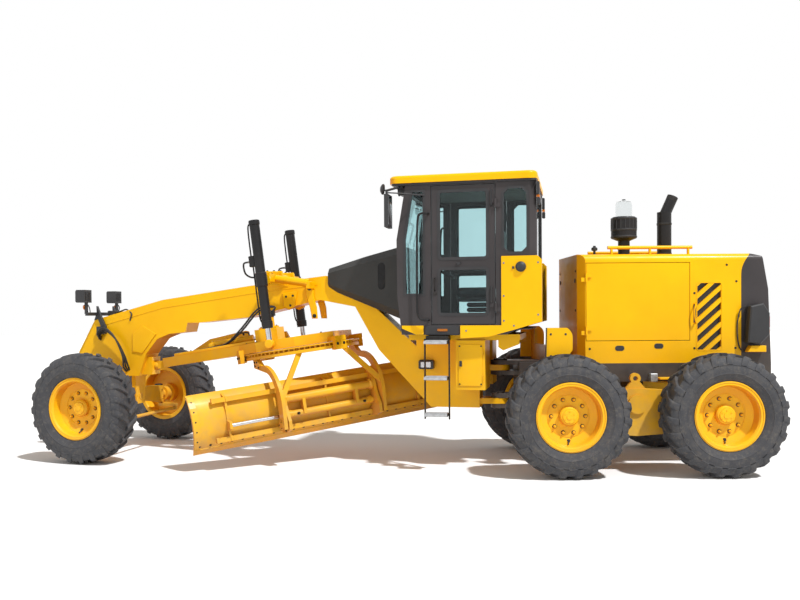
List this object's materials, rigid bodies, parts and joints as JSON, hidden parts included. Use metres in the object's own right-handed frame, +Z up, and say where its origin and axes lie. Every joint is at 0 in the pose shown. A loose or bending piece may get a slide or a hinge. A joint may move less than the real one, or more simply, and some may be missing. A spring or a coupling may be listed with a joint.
{
  "type": "motor grader",
  "caption": "Articulated motor grader with tandem rear wheels, enclosed cab, toothed circle and side-shifting curved blade.",
  "frame": {"origin": "on the ground, under the centre of the whole machine's bounding box as it stands", "axes": "+X forward along the rear tractor, +Y to its left, +Z up; the front frame stands turned to the right about the articulation pin"},
  "size_m": [7.921, 3.5176, 3.04],
  "materials": {
    "yellow_paint": "satin",
    "dark_paint": "satin",
    "black_paint": "matt",
    "tyre_rubber": "matt",
    "steel": "bright worn steel",
    "chrome_rod": "polished",
    "tinted_glass": "tinted",
    "black_plastic": "matt",
    "cast_engine": "rough"
  },
  "bodies": {
    "rear": {"rear_frame": "dark_paint", "rear_axle": "dark_paint", "tandem_case_left": "dark_paint", "tandem_case_right": "dark_paint", "engine_block": "cast_engine", "hood": "yellow_paint", "hood_rear": "yellow_paint", "hood_tail": "dark_paint", "exhaust_stack": "black_paint", "air_precleaner": "black_plastic", "hood_rails": "yellow_paint", "fenders": "yellow_paint"},
    "front": {"front_frame": "yellow_paint", "front_cover": "dark_paint", "cab_frame": "dark_paint", "cab_panels": "yellow_paint", "cab_roof": "yellow_paint", "cab_glass": "tinted_glass", "seat": "black_plastic", "console": "black_plastic", "ladders": "steel", "side_boxes": "yellow_paint", "lift_yoke": "yellow_paint", "headlamps": "black_plastic", "mirrors": "black_plastic", "front_axle": "yellow_paint"},
    "drawbar": {"drawbar": "yellow_paint", "circle_drive": "yellow_paint"},
    "circle": {"circle": "yellow_paint", "circle_arm_left": "yellow_paint", "circle_arm_right": "yellow_paint"},
    "blade_carrier": {"blade_carrier": "yellow_paint"},
    "blade": {"moldboard": "yellow_paint", "cutting_edge": "steel"},
    "tie_rod": {"tie_rod": "steel"},
    "rear_wheel_left_front": {"rear_tyre_left_front": "tyre_rubber", "rear_rim_left_front": "yellow_paint"},
    "rear_wheel_left_back": {"rear_tyre_left_back": "tyre_rubber", "rear_rim_left_back": "yellow_paint"},
    "hood_door_left": {"hood_door_left": "yellow_paint"},
    "cab_door_left": {"cab_door_left": "dark_paint", "cab_door_glass_left": "tinted_glass"},
    "knuckle_left": {"knuckle_left": "yellow_paint"},
    "front_wheel_left": {"front_tyre_left": "tyre_rubber", "front_rim_left": "yellow_paint"},
    "rear_wheel_right_front": {"rear_tyre_right_front": "tyre_rubber", "rear_rim_right_front": "yellow_paint"},
    "rear_wheel_right_back": {"rear_tyre_right_back": "tyre_rubber", "rear_rim_right_back": "yellow_paint"},
    "hood_door_right": {"hood_door_right": "yellow_paint"},
    "cab_door_right": {"cab_door_right": "dark_paint", "cab_door_glass_right": "tinted_glass"},
    "knuckle_right": {"knuckle_right": "yellow_paint"},
    "front_wheel_right": {"front_tyre_right": "tyre_rubber", "front_rim_right": "yellow_paint"},
    "lift_barrel_left": {"lift_barrel_left": "yellow_paint"},
    "lift_rod_left": {"lift_rod_left": "chrome_rod"},
    "lift_barrel_right": {"lift_barrel_right": "yellow_paint"},
    "lift_rod_right": {"lift_rod_right": "chrome_rod"}
  },
  "joints": [
    {"name": "articulation", "type": "hinge", "parent": "rear", "child": "front", "pos_m": [-1.23, 0.607, 0.85], "axis": [0, 0, 1], "range_deg": [-6, 34]},
    {"name": "rear_wheel_left_front_turn", "type": "hinge", "parent": "rear", "child": "rear_wheel_left_front", "pos_m": [-1.737, 1.557, 0.607], "axis": [0, 1, 0], "continuous": true},
    {"name": "rear_wheel_left_back_turn", "type": "hinge", "parent": "rear", "child": "rear_wheel_left_back", "pos_m": [-3.263, 1.557, 0.607], "axis": [0, 1, 0], "continuous": true},
    {"name": "hood_door_left_hinge", "type": "hinge", "parent": "rear", "child": "hood_door_left", "pos_m": [-2.04, 1.103, 1.7], "axis": [0, 0, -1], "range_deg": [0, 90]},
    {"name": "cab_door_left_hinge", "type": "hinge", "parent": "front", "child": "cab_door_left", "pos_m": [-1.07619, 1.30657, 2.2], "axis": [0, 0, 1], "range_deg": [0, 90]},
    {"name": "steer_left", "type": "hinge", "parent": "front", "child": "knuckle_left", "pos_m": [3.25716, 0.20966, 0.607], "axis": [0, 0, 1], "range_deg": [-39, 51]},
    {"name": "front_wheel_left_turn", "type": "hinge", "parent": "knuckle_left", "child": "front_wheel_left", "pos_m": [3.3478, 0.45867, 0.607], "axis": [0.342, 0.9397, 0], "continuous": true},
    {"name": "rear_wheel_right_front_turn", "type": "hinge", "parent": "rear", "child": "rear_wheel_right_front", "pos_m": [-1.737, -0.343, 0.607], "axis": [0, 1, 0], "continuous": true},
    {"name": "rear_wheel_right_back_turn", "type": "hinge", "parent": "rear", "child": "rear_wheel_right_back", "pos_m": [-3.263, -0.343, 0.607], "axis": [0, 1, 0], "continuous": true},
    {"name": "hood_door_right_hinge", "type": "hinge", "parent": "rear", "child": "hood_door_right", "pos_m": [-2.04, 0.111, 1.7], "axis": [0, 0, 1], "range_deg": [0, 90]},
    {"name": "cab_door_right_hinge", "type": "hinge", "parent": "front", "child": "cab_door_right", "pos_m": [-1.42262, -0.08289, 2.2], "axis": [0, 0, -1], "range_deg": [0, 90]},
    {"name": "steer_right", "type": "hinge", "parent": "front", "child": "knuckle_right", "pos_m": [2.91847, -1.14876, 0.607], "axis": [0, 0, 1], "range_deg": [-39, 51]},
    {"name": "front_wheel_right_turn", "type": "hinge", "parent": "knuckle_right", "child": "front_wheel_right", "pos_m": [2.82783, -1.39778, 0.607], "axis": [0.342, 0.9397, 0], "continuous": true},
    {"name": "tie_rod_pin", "type": "hinge", "parent": "knuckle_left", "child": "tie_rod", "pos_m": [3.03164, 0.29174, 0.435], "axis": [0, 0, 1], "range_deg": [-51, 39]},
    {"name": "drawbar_lift", "type": "hinge", "parent": "front", "child": "drawbar", "pos_m": [2.74821, -0.38488, 1.02], "axis": [0.2419, 0.9703, 0], "range_deg": [-14, 3.5]},
    {"name": "circle_turn", "type": "hinge", "parent": "drawbar", "child": "circle", "pos_m": [0.98519, 0.05469, 1.24302], "axis": [0.1434, -0.0358, 0.989], "range_deg": [-2, 98]},
    {"name": "blade_pitch", "type": "hinge", "parent": "circle", "child": "blade_carrier", "pos_m": [0.58062, 0.63808, 0.52401], "axis": [0.875, 0.4714, -0.1098], "range_deg": [-5, 25]},
    {"name": "blade_side_shift", "type": "slide", "parent": "blade_carrier", "child": "blade", "axis": [-0.875, -0.4714, 0.1098], "range_m": [-0.5, 0]},
    {"name": "lift_barrel_left_swing", "type": "hinge", "parent": "front", "child": "lift_barrel_left", "pos_m": [1.36758, 0.56741, 2], "axis": [0.2419, 0.9703, 0], "range_deg": [-1.41, 0.5]},
    {"name": "lift_rod_left_slide", "type": "slide", "parent": "lift_barrel_left", "child": "lift_rod_left", "axis": [-0.1237, 0.0309, -0.9918], "range_m": [-0.1054, 0.4127]},
    {"name": "lift_barrel_right_swing", "type": "hinge", "parent": "front", "child": "lift_barrel_right", "pos_m": [1.08211, -0.57754, 2], "axis": [0.2419, 0.9703, 0], "range_deg": [-1.41, 0.5]},
    {"name": "lift_rod_right_slide", "type": "slide", "parent": "lift_barrel_right", "child": "lift_rod_right", "axis": [-0.1237, 0.0309, -0.9918], "range_m": [-0.1054, 0.4127]}
  ],
  "couplings": [
    {"joint": "steer_right", "follows": "steer_left", "ratio": 1},
    {"joint": "tie_rod_pin", "follows": "steer_left", "ratio": -1},
    {"joint": "lift_barrel_left_swing", "follows": "drawbar_lift", "ratio": 0.086747},
    {"joint": "lift_rod_left_slide", "follows": "drawbar_lift", "m_per_rad": -1.6768},
    {"joint": "lift_barrel_right_swing", "follows": "drawbar_lift", "ratio": 0.086747},
    {"joint": "lift_rod_right_slide", "follows": "drawbar_lift", "m_per_rad": -1.6768}
  ]
}
